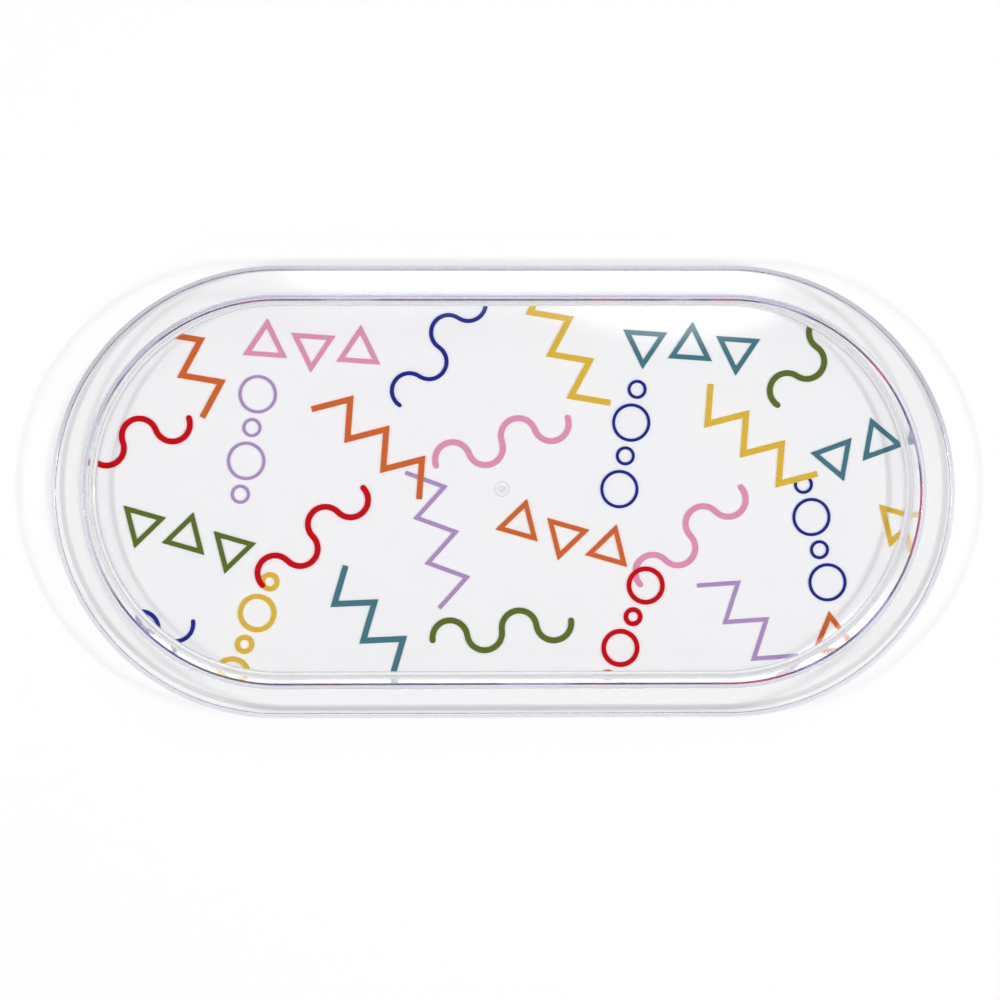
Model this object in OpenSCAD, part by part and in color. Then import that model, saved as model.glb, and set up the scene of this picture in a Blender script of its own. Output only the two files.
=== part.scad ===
// Clear moulded catch-all tray with a printed film under its floor.
// The plan is a stadium: two half circles joined by straight sides.
// One clear moulding makes the floor, the wall, the flat rim and the turned-down lip.
// A die-cut film, screen-printed in eight spot colours, is bonded under the floor.

/* [Tray] */
// Overall length, tip to tip across the lip
tray_l = 254; // [200:1:320]
// Overall width across the lip
tray_w = 127; // [100:1:160]
// Overall height, from the table to the top of the rim
tray_h = 24; // [18:0.5:36]

/* [Wall and floor] */
// Thickness of the side wall
wall_t = 1.6; // [1.3:0.1:3]
// Thickness of the floor
floor_t = 2; // [1.2:0.1:3.5]
// Lean of the side wall from upright, so that it leaves the mould, in degrees
wall_draft = 1; // [0.5:0.5:8]
// Radius between the floor and the wall, inside the tray
floor_fillet = 1; // [0.6:0.1:4]
// Radius of the wall's lower edge, outside
heel_round = 0.2; // [0.1:0.05:0.25]

/* [Rim and lip] */
// Width of the rim, from the outer edge of the lip to the inside of the wall
rim_w = 9.8; // [7:0.1:14]
// Thickness of the rim
rim_t = 1.6; // [1.2:0.1:2]
// Radius of the rim's inner edge, where it runs into the wall
rim_inner_round = 0.8; // [0.3:0.1:2.5]
// Radius of the rim's outer edge
rim_outer_round = 1.2; // [0.3:0.1:1.6]
// Height of the lip, from its free edge to the top of the rim
lip_h = 2.8; // [2.5:0.1:8]
// Thickness of the lip
lip_t = 1.3; // [1.1:0.1:2.4]
// Lean of the lip from upright, in degrees
lip_draft = 1; // [0.5:0.5:10]
// Radius of the lip's free edges
lip_round = 0.5; // [0.2:0.1:0.6]
// Radius under the rim, where it meets the wall
wall_fillet = 0.3; // [0.1:0.1:2]
// Radius under the rim, where it meets the lip
lip_fillet = 0.2; // [0.1:0.05:0.5]

/* [Foot ring] */
// Height of the foot ring, which lifts the print off the table
foot_h = 1.2; // [1:0.1:3]
// Width of the foot ring
foot_w = 2; // [1.2:0.1:2.4]
// Radius of the foot ring's edges and of its corners with the floor
foot_round = 0.2; // [0.1:0.05:0.3]

/* [Gate mark] */
// Diameter of the dimple that the moulding gate leaves under the floor
gate_d = 4.2; // [3:0.2:8]
// Depth of that dimple
gate_depth = 0.3; // [0.2:0.1:1]
// Diameter of the stub inside it
stub_d = 2; // [1:0.1:2.6]
// Gap between the stub's tip and the dimple's mouth
stub_gap = 0.1; // [0.05:0.05:0.15]

/* [Printed film] */
// Thickness of the clear film
film_t = 0.25; // [0.1:0.05:0.4]
// Thickness of one ink layer
ink_t = 0.04; // [0.02:0.01:0.05]
// Thickness of the clear bond between the print and the floor
bond_t = 0.05; // [0.02:0.01:0.1]
// Gap between the film's edge and the foot ring
film_gap = 0.2; // [0.2:0.1:1]

/* [Print pattern] */
// Length of one motif
motif_l = 40; // [24:1:60]
// Width of one motif
motif_w = 11; // [7:0.5:16]
// Spacing of the motifs along the tray
pitch_x = 36; // [26:1:60]
// Spacing of the rows of motifs across the tray
pitch_y = 27; // [20:1:50]
// Turn of the motif in the middle of the first row, in degrees
turn_first = 20; // [0:1:180]
// Turn from one motif to the next along a row, in degrees
turn_along = 60; // [0:1:180]
// Turn from one row of motifs to the next, in degrees
turn_across = 96; // [0:1:180]
// Width of a fine printed line
fine_line = 0.9; // [0.5:0.1:1.2]
// Width of a bold printed line
bold_line = 1.4; // [0.8:0.1:1.6]
// Extra width of the wave and zigzag lines
heavy_add = 0.3; // [0:0.1:1]
// Diameter of the small rings
small_ring_d = 5.5; // [4:0.5:7]
// Gap between one ring and the next
ring_gap = 1.4; // [0.5:0.1:3]

/* [Hidden] */
$fn = 96;

// Print order, bottom layer first: colour and line width
INKS = [
    ["#d98fae", bold_line],
    ["#467480", bold_line],
    ["#a98bbb", fine_line],
    ["#232a86", fine_line],
    ["#5b6a2c", bold_line],
    ["#cb622f", bold_line],
    ["#d8b03c", bold_line],
    ["#c00d18", bold_line]
];
INK_COUNT = len(INKS);
CLEAR = [0.9, 0.91, 0.96, 0.4];
FILM = [0.95, 0.96, 0.98, 0.5];

// Steps in each rounded corner of the wall's section
corner_steps = 8;
// Overlap that carries a cut clean through a face
cut = 0.1;
// Most of the ledge beside the foot ring that one of its two rounds may take up
ledge_share = 0.45;

// Plan: distance between the centres of the two round ends
core_l = tray_l - tray_w;
outer_r = tray_w / 2;

// Levels
floor_z = foot_h + floor_t;
rim_z = tray_h - rim_t;
lip_z = tray_h - lip_h;

// Radii from the line between the end centres, at height z
wall_lean = tan(wall_draft);
lip_lean = tan(lip_draft);
wall_skin = wall_t / cos(wall_draft);
lip_skin = lip_t / cos(lip_draft);
// The rounded free edge draws the lip's widest point in by this much
lip_tip = lip_round * (lip_lean + 1 / cos(lip_draft) - 1);
function wall_in(z) = outer_r - rim_w - (tray_h - z) * wall_lean;
function wall_out(z) = wall_in(z) + wall_skin;
function lip_out(z) = outer_r + lip_tip - (z - lip_z) * lip_lean;
function lip_in(z) = lip_out(z) - lip_skin;

// The floor is flat out to the start of its fillet, and the foot ring starts there
floor_r = wall_in(floor_z) - floor_fillet * tan(45 - wall_draft / 2);
foot_in = floor_r;
foot_out = foot_in + foot_w;
film_r = foot_in - film_gap;
// The foot ring's outer corner and the wall's lower edge share the ledge between them
ledge = wall_out(foot_h) - foot_out;
ledge_corner = min(foot_round, ledge * ledge_share);
ledge_edge = min(heel_round, ledge * ledge_share);

// Print stack, from the floor's underside down
ink_top = foot_h - bond_t;
film_top = ink_top - INK_COUNT * ink_t;

// Rows and columns of motifs that cover the film and run off its edges
rows = ceil(film_r / pitch_y);
columns = ceil((core_l / 2 + film_r) / pitch_x);
// Steps through the inks, and through the kinds of motif, from one place on the grid to the next
INK_STEP_ALONG = 3;
INK_STEP_ACROSS = 6;
KIND_STEP_ACROSS = 2;
MOTIF_KINDS = 4;
WAVE_BENDS = 4;
ZIGZAG_STROKES = 6;
TRIANGLES = 3;

function unit(v) = v / norm(v);

// Remainder of n over size, never negative
function wrap(n, size) = n - size * floor(n / size);

// Points of an arc of radius r that rounds the corner b between its neighbours a and c
function rounded_corner(a, b, c, r) =
    let (
        u = unit(a - b),
        v = unit(c - b),
        half = acos(u * v) / 2,
        centre = b + unit(u + v) * r / sin(half),
        first = b + u * r / tan(half) - centre,
        last = b + v * r / tan(half) - centre,
        start = atan2(first[1], first[0]),
        sweep = (180 - 2 * half) * sign(cross(first, last))
    )
    [for (i = [0:corner_steps])
        centre + r * [cos(start + sweep * i / corner_steps), sin(start + sweep * i / corner_steps)]];

// Outline through corners of the form [x, y, radius]; a radius of 0 keeps the corner sharp
function rounded_outline(corners) =
    let (n = len(corners), at = [for (k = corners) [k[0], k[1]]])
    [for (i = [0:n - 1])
        each corners[i][2] > 0
            ? rounded_corner(at[(i + n - 1) % n], at[i], at[(i + 1) % n], corners[i][2])
            : [at[i]]];

// Section of floor, foot ring, wall, rim and lip, from the tray's middle out
module shell_section() {
    polygon(rounded_outline([
        [0, foot_h, 0],
        [foot_in, foot_h, foot_round],
        [foot_in, 0, foot_round],
        [foot_out, 0, foot_round],
        [foot_out, foot_h, ledge_corner],
        [wall_out(foot_h), foot_h, ledge_edge],
        [wall_out(rim_z), rim_z, wall_fillet],
        [lip_in(rim_z), rim_z, lip_fillet],
        [lip_in(lip_z), lip_z, lip_round],
        [lip_out(lip_z), lip_z, lip_round],
        [lip_out(tray_h), tray_h, rim_outer_round],
        [wall_in(tray_h), tray_h, rim_inner_round],
        [wall_in(floor_z), floor_z, floor_fillet],
        [0, floor_z, 0]
    ]));
}

// Carries a section round the stadium: a half turn at each end and a straight run along each side
module round_the_plan() {
    for (end = [0, 180])
        rotate(end) translate([core_l / 2, 0, 0]) rotate(-90) rotate_extrude(angle = 180) children();
    for (side = [0, 180])
        rotate(side) translate([core_l / 2, 0, 0]) rotate([90, 0, -90])
            linear_extrude(core_l) mirror([1, 0]) children();
}

// Flat stadium with ends of radius r
module stadium(r) {
    square([core_l, 2 * r], center = true);
    for (side = [-1, 1])
        translate([side * core_l / 2, 0]) circle(r);
}

// Dimple under the floor with the stub of the gate left standing in it
module gate_dimple() {
    translate([0, 0, foot_h]) difference() {
        translate([0, 0, -cut]) cylinder(d = gate_d, h = gate_depth + cut);
        translate([0, 0, stub_gap]) cylinder(d = stub_d, h = gate_depth);
    }
}

module tray_body() {
    color(CLEAR) difference() {
        round_the_plan() shell_section();
        gate_dimple();
    }
}

module print_film() {
    color(FILM) translate([0, 0, film_top - film_t]) linear_extrude(film_t) stadium(film_r);
}

// Serpentine line with round ends: half rings that swing to either side by turns
module wave_motif(line) {
    bend_r = motif_l / WAVE_BENDS / 2;
    for (i = [0:WAVE_BENDS - 1])
        translate([(2 * i + 1 - WAVE_BENDS) * bend_r, 0]) mirror([0, i % 2]) half_ring(bend_r, line);
    for (side = [-1, 1])
        translate([side * motif_l / 2, 0]) circle(d = line);
}

module half_ring(r, line) {
    intersection() {
        ring(r + line / 2, line);
        translate([-2 * r, 0]) square([4 * r, 2 * r]);
    }
}

module ring(r, line) {
    difference() {
        circle(r);
        circle(r - line);
    }
}

// Zigzag line of even width with mitred corners and square ends
module zigzag_motif(line) {
    step = motif_l / ZIGZAG_STROKES;
    rise = motif_w - line;
    slope = atan2(rise, step);
    mitre = [0, line / 2 / cos(slope)];
    square_end = line / 2 * [-sin(slope), cos(slope)];
    spine = [for (i = [0:ZIGZAG_STROKES]) [(i - ZIGZAG_STROKES / 2) * step, (i % 2 - 0.5) * rise]];
    half_widths = [for (i = [0:ZIGZAG_STROKES])
        i == 0 ? square_end : i == ZIGZAG_STROKES ? [-square_end[0], square_end[1]] : mitre];
    polygon(concat(
        [for (i = [0:ZIGZAG_STROKES]) spine[i] + half_widths[i]],
        [for (i = [ZIGZAG_STROKES:-1:0]) spine[i] - half_widths[i]]
    ));
}

// Row of separate rings, large and small by turns
module ring_motif(line) {
    pair = motif_w + small_ring_d + 2 * ring_gap;
    for (i = [0, 1]) {
        translate([(i - 1) * pair + motif_w / 2, 0]) ring(motif_w / 2, line);
        translate([i * pair - ring_gap - small_ring_d / 2, 0]) ring(small_ring_d / 2, line);
    }
}

// Row of open triangles that point to either side by turns
module triangle_motif(line) {
    step = motif_l / TRIANGLES;
    corner_r = motif_w * 2 / 3;
    for (i = [0:TRIANGLES - 1])
        translate([(i + (1 - TRIANGLES) / 2) * step, 0]) rotate(90 + i * 180) difference() {
            circle(corner_r, $fn = 3);
            circle(corner_r - 2 * line, $fn = 3);
        }
}

module motif(kind, line) {
    if (kind == 0) wave_motif(line + heavy_add);
    if (kind == 1) ring_motif(line);
    if (kind == 2) zigzag_motif(line + heavy_add);
    if (kind == 3) triangle_motif(line);
}

// Kind of motif at a place on the grid; each run of kinds along a row starts one kind further on
function kind_at(column, row) =
    wrap(column + floor(column / MOTIF_KINDS) + KIND_STEP_ACROSS * row, MOTIF_KINDS);

// Motifs of one ink on a staggered grid, each turned from the last
module motifs_of(ink) {
    for (row = [-rows:rows - 1], column = [-columns:columns])
        if (wrap(INK_STEP_ALONG * column + INK_STEP_ACROSS * row, INK_COUNT) == ink)
            translate([(column + row % 2 / 2) * pitch_x, (row + 0.5) * pitch_y])
                rotate(turn_first + column * turn_along + row * turn_across)
                    motif(kind_at(column, row), INKS[ink][1]);
}

// One ink layer, trimmed with the film's edge
module ink_layer(ink) {
    color(INKS[ink][0]) translate([0, 0, film_top + ink * ink_t]) linear_extrude(ink_t) intersection() {
        stadium(film_r);
        motifs_of(ink);
    }
}

tray_body();
print_film();
ink_layer(0);  // ink_pink
ink_layer(1);  // ink_teal
ink_layer(2);  // ink_lilac
ink_layer(3);  // ink_blue
ink_layer(4);  // ink_olive
ink_layer(5);  // ink_orange
ink_layer(6);  // ink_yellow
ink_layer(7);  // ink_red
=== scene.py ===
"""Looks of a clear moulded tray with a printed film under its floor.

The tray is rebuilt as one smooth mesh, swept from its section round the stadium, so that it refracts cleanly.
The film and the ink layers keep their CAD solids and get printed-film materials.
"""

import math

import bmesh
import bpy
from mathutils import Matrix, Vector


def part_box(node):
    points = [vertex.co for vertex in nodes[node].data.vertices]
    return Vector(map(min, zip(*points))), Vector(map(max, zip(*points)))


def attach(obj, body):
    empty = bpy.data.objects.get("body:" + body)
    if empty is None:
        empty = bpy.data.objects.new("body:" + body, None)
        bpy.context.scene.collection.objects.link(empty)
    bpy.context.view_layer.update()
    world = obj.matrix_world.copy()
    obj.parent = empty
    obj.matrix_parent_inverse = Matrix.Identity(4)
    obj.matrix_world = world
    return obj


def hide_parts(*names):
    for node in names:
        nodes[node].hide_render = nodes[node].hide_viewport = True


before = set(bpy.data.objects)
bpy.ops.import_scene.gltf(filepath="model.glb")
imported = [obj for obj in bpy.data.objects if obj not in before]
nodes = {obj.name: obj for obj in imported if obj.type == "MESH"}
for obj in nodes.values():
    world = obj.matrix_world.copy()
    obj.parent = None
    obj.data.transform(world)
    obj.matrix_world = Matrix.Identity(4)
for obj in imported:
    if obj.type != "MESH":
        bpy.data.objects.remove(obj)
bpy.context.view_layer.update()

MM = 0.001

# Section of the moulding, in millimetres, as in the CAD source
WALL_T = 1.6
FLOOR_T = 2.0
WALL_DRAFT = math.radians(1)
FLOOR_FILLET = 1.0
RIM_W = 9.8
RIM_T = 1.6
RIM_INNER_ROUND = 0.8
RIM_OUTER_ROUND = 1.2
LIP_H = 2.8
LIP_T = 1.3
LIP_DRAFT = math.radians(1)
LIP_ROUND = 0.5
WALL_FILLET = 0.3
LIP_FILLET = 0.2
FOOT_H = 1.2
FOOT_W = 2.0
FOOT_ROUND = 0.2
HEEL_ROUND = 0.2
GATE_D = 4.2
GATE_DEPTH = 0.3
GATE_ROUND = 0.08
STUB_D = 2
STUB_GAP = 0.1
STUB_ROUND = 0.08
FLOOR_Z = FOOT_H + FLOOR_T
# Radius of a corner that only closes an outline and isn't swept
SHARP = 0.01

# Shallow sink of the floor beside the back wall, in millimetres: its middle, its reach and its depth there
SINK_AT = (50, 80)
SINK_REACH = 50
SINK_DEPTH = 0.38

# Mesh density of the moulding
CORNER_STEPS = 14
END_STEPS = 96
SIDE_STEPS = 32
FLOOR_STEPS = 30
# The flat floor's rings start this far inside the foot ring, in millimetres, and go this share of the way in
FLOOR_START = 0.8
FLOOR_INNER = 0.85

# Camera, fitted to the photograph's 1000 by 1000 frame: where the tray's middle is in pixels, how large the
# tray shows at the lip's lower edge, and in metres how far the camera is from there and how far it sees
IMAGE_PX = 1000
TRAY_AT_PX = (504.0, 491.9)
TRAY_PX_PER_MM = 3.556
CAMERA_DISTANCE = 1.25
CAMERA_REACH = 20
CAMERA_LEAN_X = math.radians(-1.75)
CAMERA_LEAN_Y = math.radians(2.45)
SENSOR_MM = 36

# Light of the room by the sine of the height above the horizon: pale walls under a dark ceiling
ROOM_LIGHT = [(0.0, 0.9), (0.15, 0.9), (0.3, 0.12), (0.8, 0.12), (0.92, 0.06), (0.97, 0.03)]
# How much lighter the room is towards this direction, and darker away from it
ROOM_SIDE = (-0.3, -0.3, 0)
# Table top: half its side in metres, its white, and how much it glows besides
TABLE_HALF = 6
TABLE_WHITE = 0.872
TABLE_GLOW = 0.015

# Lamps: place, size and soft border in metres, and the share of a plain level of light that each gives
BACK_BOX = {"at": (0.0575, 0.436, 1.3), "size": (0.319, 0.796), "share": 0.127, "soft": 0.045}
LEFT_BOX = {"at": (-0.45, -0.03, 1.2), "size": (0.06, 0.12), "share": 0.21, "soft": 0.02}
RIGHT_BOX = {"at": (0.467, -0.03, 1.2), "size": (0.06, 0.12), "share": 0.23, "soft": 0.02}
FRONT_BOX = {"at": (0.0, -0.42, 1.2), "size": (0.3, 0.15), "share": 0.04, "soft": 0.03}
# High light: its share, its height in metres, and in degrees its spread and its lean to the left and the back
HIGH_LIGHT = {"share": 0.4, "height": 2, "spread": 1.4, "left": 2.4, "back": -0.5}
# Middle of a panel in its own coordinates, which run from 0 to 1
PANEL_MIDDLE = 0.5

# Acrylic: how it refracts, and a tint that is faint through the floor and stronger along the edges
ACRYLIC_IOR = 1.49
ACRYLIC_TINT = (0.75, 0.75, 1.0, 1)
ACRYLIC_DEPTH = 18
# How far from the tray's middle at table height the torn gate is rough, and then clear again, in metres,
# and how rough and how grey it is
GATE_TORN = (0.0017, 0.0021)
GATE_ROUGH = 0.7
GATE_GREY = 0.8
# On the rim's inner edge a dark line is painted, with painted reflections of the print's colours in it: the
# levelness over which it comes up, the stretch along x at the left end over which it does, in metres, how
# many blots there are in a metre and how fine they are, and their tones
PAINTED_EDGE_STEEP = (0.97, 0.9)
PAINTED_EDGE_LEFT = (-0.1165, -0.108)
PAINTED_EDGE_GRAIN = 45
PAINTED_EDGE_DETAIL = 1.0
PAINTED_EDGE_TONES = [
    (0.36, (0.45, 0.010, 0.04)),
    (0.44, (0.04, 0.03, 0.04)),
    (0.5, (0.06, 0.055, 0.05)),
    (0.56, (0.03, 0.025, 0.14)),
    (0.64, (0.36, 0.24, 0.46)),
]
# Width of the rim's outer edge that is tinted, in millimetres, and its tints from the front 0 to the back 1:
# a faint lilac tint with painted shade, darkest towards the back
LIP_TINT_AND_SHADE_WIDTH = 1.5
LIP_TINTS_AND_SHADE = [
    (0.0, (0.86, 0.86, 0.92)),
    (0.3, (0.86, 0.86, 0.92)),
    (0.5, (0.94, 0.94, 0.98)),
    (0.6, (0.80, 0.80, 0.87)),
    (0.72, (0.62, 0.62, 0.69)),
    (1.0, (0.70, 0.70, 0.78)),
]

# Lamp light that goes straight through the acrylic, by how level the surface is: rounded edges throw it aside
EDGE_LIGHT = [(0.0, 0.98), (0.03, 0.96), (0.08, 0.45), (0.92, 0.45), (0.97, 0.75), (0.995, 1.0)]
# Lamp light that enters the top of the wall runs on down inside it: over this height, in millimetres, the
# inside of the wall keeps back this share of it from the well, where the surface is less level than this
WALL_HEAD = 6.4
HEAD_STOP = 0.9
HEAD_LEVEL = 0.92

# Film: its haze, the share of light that this takes at its thinnest and thickest, its colour and roughness
FILM_HAZE = {"Scale": 60.0, "Detail": 3.0}
FILM_SHARE = (0.007, 0.025)
FILM_COLOUR = (0.6, 0.6, 0.62, 1)
FILM_ROUGH = 0.2

# Inks: their grain, how far it makes the colour lighter and darker, their roughness, and their shine, which
# is none because they are bonded under the floor
INK_GRAIN = {"Scale": 900.0, "Detail": 4.0}
INK_SPREAD = 0.1
INK_ROUGH = 0.6
INK_SHINE = 0.0

# Light passes many clear surfaces on its way to the table, and turns many times inside the edges
CLEAR_BOUNCES = 32
BOUNCES = 24


def put(name, data):
    """A new object of this data in the scene."""
    thing = bpy.data.objects.new(name, data)
    bpy.context.scene.collection.objects.link(thing)
    return thing


def outline(corners):
    """Points and outward normals of a closed section with rounded corners, each given as (r, z, radius)."""
    points, normals = [], []
    count = len(corners)
    for i, (r, z, radius) in enumerate(corners):
        b = Vector((r, z))
        a = Vector(corners[i - 1][:2])
        c = Vector(corners[(i + 1) % count][:2])
        u = (a - b).normalized()
        v = (c - b).normalized()
        half = u.angle(v) / 2
        centre = b + (u + v).normalized() * (radius / math.sin(half))
        turn = u.x * v.y - u.y * v.x
        bulge = -1 if turn > 0 else 1
        first = b + u * (radius / math.tan(half)) - centre
        last = b + v * (radius / math.tan(half)) - centre
        start = math.atan2(first.y, first.x)
        sweep = math.atan2(first.x * last.y - first.y * last.x, first.dot(last))
        for k in range(CORNER_STEPS + 1):
            angle = start + sweep * k / CORNER_STEPS
            ray = Vector((math.cos(angle), math.sin(angle)))
            points.append(centre + ray * radius)
            normals.append(ray * bulge)
    return points, normals


def stadium_ring(core):
    """Base point and outward direction of each step round the stadium's core line, in millimetres."""
    ring = []
    for end in (1, -1):
        for k in range(END_STEPS + 1):
            angle = math.pi * (k / END_STEPS - 0.5)
            out = Vector((end * math.cos(angle), end * math.sin(angle)))
            ring.append((Vector((end * core / 2, 0)), out))
        for k in range(1, SIDE_STEPS):
            x = end * core * (0.5 - k / SIDE_STEPS)
            ring.append((Vector((x, 0)), Vector((0, end))))
    return ring


def tray_section(size):
    """Points and normals of the moulding's section, from the floor's underside round to its top.

    Also gives the distance from the core line at which the section starts and ends.
    """
    outer = size.y / 2
    height = size.z
    rim_z = height - RIM_T
    lip_z = height - LIP_H
    lip_tip = LIP_ROUND * (math.tan(LIP_DRAFT) + 1 / math.cos(LIP_DRAFT) - 1)

    def wall_in(z):
        return outer - RIM_W - (height - z) * math.tan(WALL_DRAFT)

    def wall_out(z):
        return wall_in(z) + WALL_T / math.cos(WALL_DRAFT)

    def lip_out(z):
        return outer + lip_tip - (z - lip_z) * math.tan(LIP_DRAFT)

    def lip_in(z):
        return lip_out(z) - LIP_T / math.cos(LIP_DRAFT)

    floor_r = wall_in(FLOOR_Z) - FLOOR_FILLET * math.tan(math.pi / 4 - WALL_DRAFT / 2)
    inner = floor_r - FLOOR_START
    points, normals = outline([
        (floor_r, FOOT_H, FOOT_ROUND),
        (floor_r, 0, FOOT_ROUND),
        (floor_r + FOOT_W, 0, FOOT_ROUND),
        (floor_r + FOOT_W, FOOT_H, FOOT_ROUND),
        (wall_out(FOOT_H), FOOT_H, HEEL_ROUND),
        (wall_out(rim_z), rim_z, WALL_FILLET),
        (lip_in(rim_z), rim_z, LIP_FILLET),
        (lip_in(lip_z), lip_z, LIP_ROUND),
        (lip_out(lip_z), lip_z, LIP_ROUND),
        (lip_out(height), height, RIM_OUTER_ROUND),
        (wall_in(height), height, RIM_INNER_ROUND),
        (wall_in(FLOOR_Z), FLOOR_Z, FLOOR_FILLET),
        (inner, FLOOR_Z, SHARP),
        (inner, FOOT_H, SHARP),
    ])
    swept = slice(-2 * (CORNER_STEPS + 1))
    points = [Vector((inner, FOOT_H))] + points[swept] + [Vector((inner, FLOOR_Z))]
    normals = [Vector((0, -1))] + normals[swept] + [Vector((0, 1))]
    return points, normals, inner


def gate_profile():
    """Points and normals of the gate's mark under the floor, from the dimple's mouth in to the stub's tip."""
    depth = FOOT_H + GATE_DEPTH
    tip = FOOT_H + STUB_GAP
    points, normals = outline([
        (0, tip, SHARP),
        (STUB_D / 2, tip, STUB_ROUND),
        (STUB_D / 2, depth, GATE_ROUND),
        (GATE_D / 2, depth, GATE_ROUND),
        (GATE_D / 2, FOOT_H, GATE_ROUND),
        (GATE_D, FOOT_H, SHARP),
        (GATE_D, FLOOR_Z, SHARP),
        (0, FLOOR_Z, SHARP),
    ])
    corner = CORNER_STEPS + 1
    mark = slice(5 * corner - 1, corner - 1, -1)
    return points[mark], normals[mark]


def sink(x, y):
    """How far the floor drops at a place in millimetres, and its slope there."""
    away = Vector((x, y)) - Vector(SINK_AT)
    t = min(away.length / SINK_REACH, 1)
    drop = SINK_DEPTH * (1 - t * t * (3 - 2 * t))
    slope = away.normalized() * (SINK_DEPTH / SINK_REACH * 6 * t * (1 - t))
    return drop, slope


class TrayMesh:
    """The moulding's mesh, built round the stadium's ring, with a normal of its own at each vertex."""

    def __init__(self, ring):
        self.ring = ring
        self.mesh = bmesh.new()
        self.normals = []

    def add(self, x, y, z, normal, sunk=False):
        """Adds a vertex, in millimetres; a sunk one drops and leans with the floor."""
        if sunk:
            drop, slope = sink(x, y)
            z -= drop
            nx, ny, nz = normal
            normal = Vector((nx - slope.x * nz, ny - slope.y * nz, nz)).normalized()
        self.normals.append(normal)
        return self.mesh.verts.new((x * MM, y * MM, z * MM))

    def join(self, before, now, up):
        """Faces between two rings of vertices, the second further in, on the upper or the lower side."""
        for k in range(len(self.ring)):
            nxt = (k + 1) % len(self.ring)
            face = (before[k], now[k], now[nxt], before[nxt])
            self.mesh.faces.new(face[::-1] if up > 0 else face)

    def wall(self, points, normals):
        """Sweeps the section round the ring and returns the rings of its first and its last points."""
        floor_points = CORNER_STEPS + 2
        loops = []
        for base, out in self.ring:
            loop = []
            for k, (p, n) in enumerate(zip(points, normals)):
                at = base + out * p.x
                sunk = k < floor_points or k >= len(points) - floor_points
                loop.append(self.add(at.x, at.y, p.y, (out.x * n.x, out.y * n.x, n.y), sunk))
            loops.append(loop)
        for a, b in zip(loops, loops[1:] + loops[:1]):
            for k in range(len(points) - 1):
                self.mesh.faces.new((a[k], b[k], b[k + 1], a[k + 1]))
        return [loop[0] for loop in loops], [loop[-1] for loop in loops]

    def floor(self, before, inner, z, up):
        """Rings of the flat floor from its edge in towards the middle; returns the last."""
        for k in range(1, FLOOR_STEPS + 1):
            now = []
            for base, out in self.ring:
                at = (base + out * inner) * (1 - FLOOR_INNER * k / FLOOR_STEPS)
                now.append(self.add(at.x, at.y, z, (0, 0, up), True))
            self.join(before, now, up)
            before = now
        return before

    def gate(self, before, reach):
        """Rings of the gate's mark inside the underside's last ring; returns the one round the stub's tip."""
        for p, n in zip(*gate_profile()):
            now = []
            for base, out in self.ring:
                way = (base + out * reach).normalized()
                now.append(self.add(way.x * p.x, way.y * p.x, p.y, (way.x * n.x, way.y * n.x, n.y)))
            self.join(before, now, -1)
            before = now
        return before

    def finish(self, name):
        """The mesh as a smooth object."""
        data = bpy.data.meshes.new(name)
        self.mesh.to_mesh(data)
        self.mesh.free()
        data.polygons.foreach_set("use_smooth", [True] * len(data.polygons))
        data.normals_split_custom_set_from_vertices(self.normals)
        return put(name, data)


def sweep_tray(size):
    """The moulding as one closed mesh: the section swept round, the floor's two sides and the gate's mark."""
    points, normals, inner = tray_section(size)
    tray = TrayMesh(stadium_ring(size.x - size.y))
    below, above = tray.wall(points, normals)
    tray.mesh.faces.new(tray.floor(above, inner, FLOOR_Z, 1))
    below = tray.floor(below, inner, FOOT_H, -1)
    below = tray.gate(below, size.y / 2)
    tray.mesh.faces.new(below[::-1])
    return tray.finish("tray_moulding")


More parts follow.
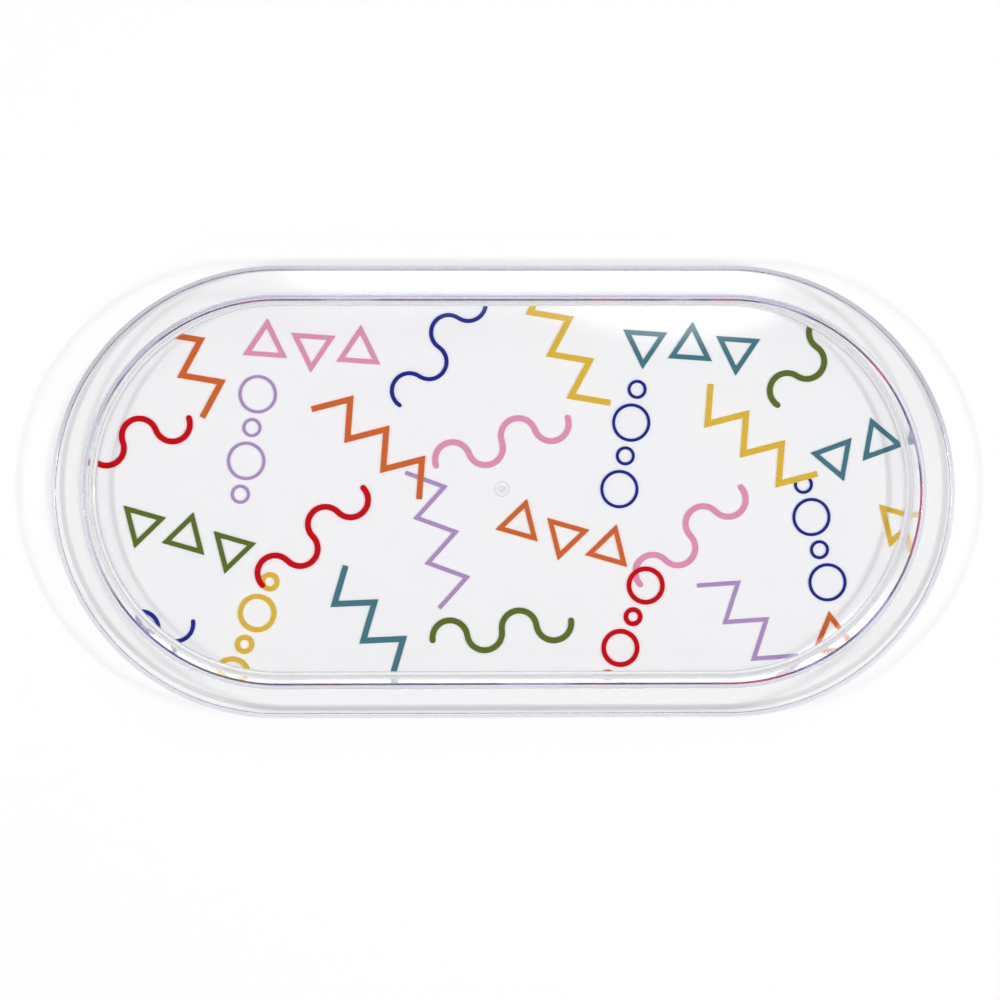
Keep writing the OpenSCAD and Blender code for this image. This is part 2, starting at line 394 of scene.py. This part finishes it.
class Nodes:
    """The node tree of a material, lamp or world, emptied, with short calls to add and link nodes."""

    def __init__(self, owner, output):
        owner.use_nodes = True
        self.owner = owner
        self.tree = owner.node_tree
        self.tree.nodes.clear()
        self.output = self.add(output)

    def feed(self, socket, value):
        """Links an output to a socket, or sets a plain value there."""
        if isinstance(value, bpy.types.NodeSocket):
            self.tree.links.new(value, socket)
        else:
            socket.default_value = value

    def feed_all(self, node, values):
        """Feeds a node's first sockets in order."""
        for socket, value in zip(node.inputs, values):
            self.feed(socket, value)

    def add(self, kind, **inputs):
        """Adds a node and feeds its sockets by name, with _ for a space."""
        node = self.tree.nodes.new(kind)
        for name, value in inputs.items():
            self.feed(node.inputs[name.replace("_", " ")], value)
        return node

    def math(self, operation, *values):
        """A number worked out from numbers."""
        node = self.add("ShaderNodeMath")
        node.operation = operation
        self.feed_all(node, values)
        return node.outputs[0]

    def vector_math(self, operation, *vectors):
        """A number worked out from vectors."""
        node = self.add("ShaderNodeVectorMath")
        node.operation = operation
        self.feed_all(node, vectors)
        return node.outputs["Value"]

    def split(self, vector):
        """The X, Y and Z of a vector."""
        return self.add("ShaderNodeSeparateXYZ", Vector=vector).outputs

    def ease(self, value, start, end, low=0.0, high=1.0, way="LINEAR"):
        """A number that goes from low to high while the value goes from start to end."""
        node = self.add("ShaderNodeMapRange", Value=value, From_Min=start, From_Max=end)
        node.interpolation_type = way
        self.feed(node.inputs["To Min"], low)
        self.feed(node.inputs["To Max"], high)
        return node.outputs["Result"]

    def ramp(self, value, stops):
        """A colour by a value; stops are (value, (red, green, blue)) in rising order."""
        node = self.add("ShaderNodeValToRGB")
        elements = node.color_ramp.elements
        while len(elements) < len(stops):
            elements.new(1)
        for element, (position, colour) in zip(elements, stops):
            element.position = position
            element.color = (*colour, 1)
        self.feed(node.inputs[0], value)
        return node.outputs["Color"]

    def grey_ramp(self, value, stops):
        """A grey by a value; stops are (value, level) in rising order."""
        return self.ramp(value, [(position, (level, level, level)) for position, level in stops])

    def mix(self, share, colour, other):
        """A colour that goes over to another by a share."""
        node = self.add("ShaderNodeMix")
        node.data_type = "RGBA"
        for name, value in (("Factor", share), ("A", colour), ("B", other)):
            self.feed(node.inputs[name], value)
        return node.outputs["Result"]

    def noise(self, place, **grain):
        """Noise over a place."""
        return self.add("ShaderNodeTexNoise", Vector=place, **grain).outputs["Fac"]

    def choose(self, share, look, other):
        """A look that goes over to another by a share."""
        node = self.add("ShaderNodeMixShader")
        self.feed_all(node, (share, look, other))
        return node.outputs[0]


def new_material(name):
    """The empty node tree of a new material, which is its owner."""
    return Nodes(bpy.data.materials.new(name), "ShaderNodeOutputMaterial")


class TraySpot:
    """Where a spot on the tray lies, how it faces and if a ray meets it from the air, as node outputs."""

    def __init__(self, n, size):
        half_core = (size.x - size.y) / 2 * MM
        wall_middle = (size.y / 2 - RIM_W + WALL_T / 2) * MM
        surface = n.add("ShaderNodeNewGeometry")
        self.place = n.add("ShaderNodeTexCoord").outputs["Object"]
        self.at = n.split(self.place)
        core = n.math("MAXIMUM", n.math("MINIMUM", self.at["X"], half_core), -half_core)
        across = n.add("ShaderNodeCombineXYZ", X=n.math("SUBTRACT", self.at["X"], core), Y=self.at["Y"])
        self.reach = n.vector_math("LENGTH", across.outputs[0])
        self.inside = n.math("LESS_THAN", self.reach, wall_middle)
        self.level = n.math("ABSOLUTE", n.split(surface.outputs["Normal"])["Z"])
        self.from_air = n.math("SUBTRACT", 1, surface.outputs["Backfacing"])


def acrylic_colour(n, spot, size, torn):
    """Clear, grey at the torn gate; the inner edge gets painted shade and print reflections, the lip a tint
    and painted shade.
    """
    clear = n.grey_ramp(torn, [(0.0, 1.0), (GATE_ROUGH, GATE_GREY)])
    # Painted dark line on the rim's inner edge, with painted reflections of the print's colours in blots; it
    # fades out at the left end
    top = n.math("GREATER_THAN", spot.at["Z"], (size.z - RIM_INNER_ROUND) * MM)
    steep = n.ease(spot.level, *PAINTED_EDGE_STEEP)
    side = n.ease(spot.at["X"], *PAINTED_EDGE_LEFT)
    painted_edge_share = n.math("MULTIPLY", n.math("MULTIPLY", spot.inside, top), n.math("MULTIPLY", steep, side))
    blots = n.noise(spot.place, Scale=PAINTED_EDGE_GRAIN, Detail=PAINTED_EDGE_DETAIL)
    with_painted_edge = n.mix(painted_edge_share, clear, n.ramp(blots, PAINTED_EDGE_TONES))
    # Lip tint with painted shade, darker towards the back
    lip = n.math("GREATER_THAN", spot.reach, (size.y / 2 - LIP_TINT_AND_SHADE_WIDTH) * MM)
    back = n.ease(spot.at["Y"], -size.y / 2 * MM, size.y / 2 * MM)
    return n.mix(lip, with_painted_edge, n.ramp(back, LIP_TINTS_AND_SHADE))


def light_through(n, spot, size):
    """The share of lamp light that goes straight through, less at rounded edges and at the wall's head."""
    upper = n.math("GREATER_THAN", spot.at["Z"], (size.z - WALL_HEAD) * MM)
    steep = n.math("LESS_THAN", spot.level, HEAD_LEVEL)
    above = n.math("MULTIPLY", spot.inside, upper)
    head = n.math("MULTIPLY", above, n.math("MULTIPLY", spot.from_air, steep))
    edge = n.grey_ramp(spot.level, EDGE_LIGHT)
    return n.math("MULTIPLY", edge, n.math("MULTIPLY_ADD", head, -HEAD_STOP, 1))


def clear_acrylic(size):
    """Polished acrylic, torn at the gate; lamps shine through it."""
    n = new_material("clear_acrylic")
    spot = TraySpot(n, size)
    torn = n.ease(n.vector_math("LENGTH", spot.place), *GATE_TORN, GATE_ROUGH, 0.0)
    glass = n.add(
        "ShaderNodeBsdfPrincipled",
        Base_Color=acrylic_colour(n, spot, size, torn),
        Roughness=torn,
        IOR=ACRYLIC_IOR,
        Transmission_Weight=1.0,
    )
    through = n.add("ShaderNodeBsdfTransparent", Color=light_through(n, spot, size))
    path = n.add("ShaderNodeLightPath")
    look = glass.outputs[0]
    for ray in ("Is Shadow Ray", "Is Diffuse Ray"):
        look = n.choose(path.outputs[ray], look, through.outputs[0])
    depth = n.add("ShaderNodeVolumeAbsorption", Color=ACRYLIC_TINT, Density=ACRYLIC_DEPTH)
    n.feed(n.output.inputs["Surface"], look)
    n.feed(n.output.inputs["Volume"], depth.outputs[0])
    return n.owner


def clear_film():
    """Clear film with a faint haze that comes and goes."""
    n = new_material("clear_film")
    haze = n.noise(n.add("ShaderNodeTexCoord").outputs["Object"], **FILM_HAZE)
    share = n.ease(haze, 0.0, 1.0, *FILM_SHARE)
    film = n.add("ShaderNodeBsdfPrincipled", Base_Color=FILM_COLOUR, Roughness=FILM_ROUGH, Alpha=share)
    n.feed(n.output.inputs["Surface"], film.outputs[0])
    return n.owner


def ink(name, colour):
    """Printed ink of one colour, with a fine grain of darker and lighter dots."""
    n = new_material(name)
    dark = (*[c * (1 - INK_SPREAD) for c in colour], 1)
    light = (*[min(c * (1 + INK_SPREAD), 1) for c in colour], 1)
    grain = n.noise(n.add("ShaderNodeTexCoord").outputs["Object"], **INK_GRAIN)
    body = n.add(
        "ShaderNodeBsdfPrincipled",
        Base_Color=n.mix(grain, dark, light),
        Roughness=INK_ROUGH,
        Specular_IOR_Level=INK_SHINE,
    )
    n.feed(n.output.inputs["Surface"], body.outputs[0])
    return n.owner


def srgb(r, g, b):
    """Linear colour of an sRGB colour whose parts go from 0 to 255."""
    def linear(c):
        c /= 255
        return c / 12.92 if c <= 0.04045 else ((c + 0.055) / 1.055) ** 2.4
    return linear(r), linear(g), linear(b)


INK_COLOURS = {
    "ink_pink": srgb(217, 143, 174),
    "ink_teal": srgb(70, 116, 128),
    "ink_lilac": srgb(169, 139, 187),
    "ink_blue": srgb(35, 42, 134),
    "ink_olive": srgb(91, 106, 44),
    "ink_orange": srgb(203, 98, 47),
    "ink_yellow": srgb(216, 176, 60),
    "ink_red": srgb(192, 13, 24),
}


def table_white():
    """White paint that keeps the tray's shadow, and glows a little to all that look at it."""
    n = new_material("table_white")
    paint = n.add("ShaderNodeBsdfDiffuse", Color=(TABLE_WHITE, TABLE_WHITE, TABLE_WHITE, 1))
    glow = n.add("ShaderNodeEmission", Strength=TABLE_GLOW)
    lit = n.add("ShaderNodeAddShader")
    n.feed_all(lit, (paint.outputs[0], glow.outputs[0]))
    path = n.add("ShaderNodeLightPath")
    seen = path.outputs["Is Camera Ray"]
    for ray in ("Is Glossy Ray", "Is Transmission Ray"):
        seen = n.math("MAXIMUM", seen, path.outputs[ray])
    n.feed(n.output.inputs["Surface"], n.choose(seen, paint.outputs[0], lit.outputs[0]))
    return n.owner


def table():
    """The table top that the tray stands on."""
    data = bpy.data.meshes.new("table")
    mesh = bmesh.new()
    bmesh.ops.create_grid(mesh, x_segments=1, y_segments=1, size=TABLE_HALF)
    mesh.to_mesh(data)
    mesh.free()
    top = put("table", data)
    data.materials.append(table_white())


def softbox(name, at, size, share, soft):
    """Panel lamp that faces down, fades over a soft border and gives the tray its share of a plain level."""
    light = bpy.data.lights.new(name, "AREA")
    light.shape = "RECTANGLE"
    light.size, light.size_y = size
    way = Vector(at)
    slant = way.normalized().z
    lit = (1 - soft / size[0]) * (1 - soft / size[1])
    light.energy = share * math.pi ** 2 * way.length_squared / slant ** 2 / lit
    n = Nodes(light, "ShaderNodeOutputLight")
    panel = n.split(n.add("ShaderNodeNewGeometry").outputs["Parametric"])
    fades = []
    for axis, side in zip("XY", size):
        off = n.math("ABSOLUTE", n.math("SUBTRACT", panel[axis], PANEL_MIDDLE))
        fades.append(n.ease(off, PANEL_MIDDLE, PANEL_MIDDLE - soft / side, way="SMOOTHSTEP"))
    shine = n.add("ShaderNodeEmission", Strength=n.math("MULTIPLY", *fades))
    n.feed(n.output.inputs[0], shine.outputs[0])
    put(name, light).location = at


def high_light(share, height, spread, left, back):
    """Even light from high above, which the level surfaces don't mirror."""
    light = bpy.data.lights.new("high_light", "SUN")
    light.energy = share * math.pi
    light.angle = math.radians(spread)
    lamp = put("high_light", light)
    lamp.location = (0, 0, height)
    way = Vector((-math.tan(math.radians(left)), math.tan(math.radians(back)), 1))
    lamp.rotation_euler = way.to_track_quat("Z", "Y").to_euler()
    lamp.visible_glossy = False
    lamp.visible_transmission = False


def studio_lights():
    """Four panels round the tray and a high light."""
    softbox("softbox_back", **BACK_BOX)
    softbox("softbox_left", **LEFT_BOX)
    softbox("softbox_right", **RIGHT_BOX)
    softbox("softbox_front", **FRONT_BOX)
    high_light(**HIGH_LIGHT)


def studio_world():
    """Pale walls low down and a dark ceiling."""
    world = bpy.data.worlds.new("studio")
    bpy.context.scene.world = world
    n = Nodes(world, "ShaderNodeOutputWorld")
    way = n.add("ShaderNodeTexCoord").outputs["Generated"]
    room = n.add(
        "ShaderNodeBackground",
        Color=n.grey_ramp(n.split(way)["Z"], ROOM_LIGHT),
        Strength=n.math("ADD", n.vector_math("DOT_PRODUCT", way, ROOM_SIDE), 1),
    )
    n.feed(n.output.inputs[0], room.outputs[0])


def camera(height_mm):
    """Camera that leans over the tray and frames it as the photograph does."""
    target = Vector((0, 0, (height_mm - LIP_H) * MM))
    lean = Vector((math.tan(CAMERA_LEAN_X), math.tan(CAMERA_LEAN_Y), 1)).normalized()
    at = target + lean * CAMERA_DISTANCE
    right_px = TRAY_AT_PX[0] - IMAGE_PX / 2
    up_px = IMAGE_PX / 2 - TRAY_AT_PX[1]
    aim = target - Vector((right_px, up_px, 0)) / TRAY_PX_PER_MM * MM
    data = bpy.data.cameras.new("camera")
    data.sensor_width = SENSOR_MM
    data.lens = TRAY_PX_PER_MM * CAMERA_DISTANCE / MM * SENSOR_MM / IMAGE_PX
    data.clip_end = CAMERA_REACH
    back = (at - aim).normalized()
    right = Vector((0, 1, 0)).cross(back).normalized()
    up = back.cross(right)
    turn = Matrix((right, up, back)).transposed()
    eye = put("camera", data)
    eye.matrix_world = Matrix.Translation(at) @ turn.to_4x4()
    bpy.context.scene.camera = eye


low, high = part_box("tray_body")
tray_size = (high - low) / MM

camera(tray_size.z)
studio_world()
table()
studio_lights()

moulding = sweep_tray(tray_size)
moulding.data.materials.append(clear_acrylic(tray_size))
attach(moulding, "root")
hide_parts("tray_body")

film_node = nodes["print_film"]
film_node.data.materials.clear()
film_node.data.materials.append(clear_film())
for ink_name, ink_colour in INK_COLOURS.items():
    layer = nodes[ink_name]
    layer.data.materials.clear()
    layer.data.materials.append(ink(ink_name, ink_colour))

bpy.context.scene.view_settings.view_transform = "Standard"
bpy.context.scene.cycles.transparent_max_bounces = CLEAR_BOUNCES
bpy.context.scene.cycles.max_bounces = BOUNCES
bpy.context.scene.cycles.glossy_bounces = BOUNCES
bpy.context.scene.cycles.transmission_bounces = BOUNCES
